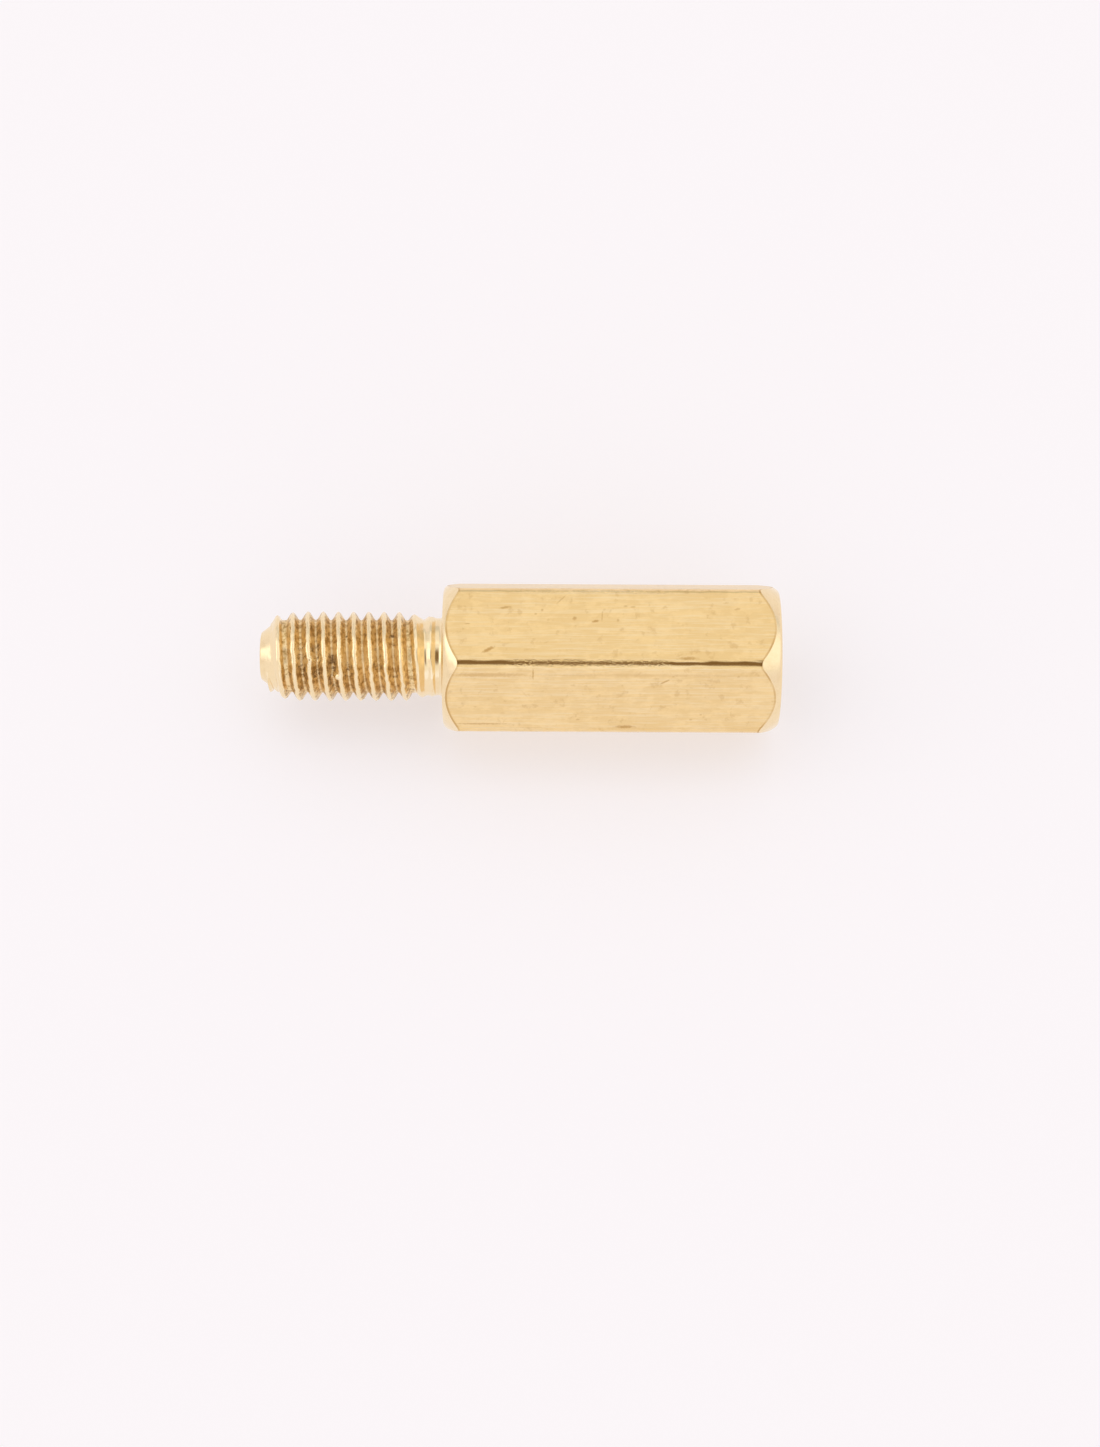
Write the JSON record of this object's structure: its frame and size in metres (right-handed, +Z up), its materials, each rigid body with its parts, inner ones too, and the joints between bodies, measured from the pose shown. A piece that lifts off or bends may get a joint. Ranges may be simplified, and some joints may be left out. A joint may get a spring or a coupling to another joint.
{
  "type": "hex standoff",
  "caption": "Brass hexagon standoff with a threaded stud at one end and a blind tapped hole in the other, for spacing boards and panels.",
  "frame": {"origin": "centre of the shoulder, on the axis, in the plane where the stud meets the hexagon", "axes": "+X along the axis out of the tapped hole's mouth, -X along the stud, +Z up with the hexagon lying on one flat"},
  "size_m": [0.017, 0.0054, 0.0048],
  "materials": {
    "brass": "drawn flats with soft mottled lustre, turned ends and stud"
  },
  "bodies": {
    "root": {"standoff": "brass"}
  },
  "joints": []
}
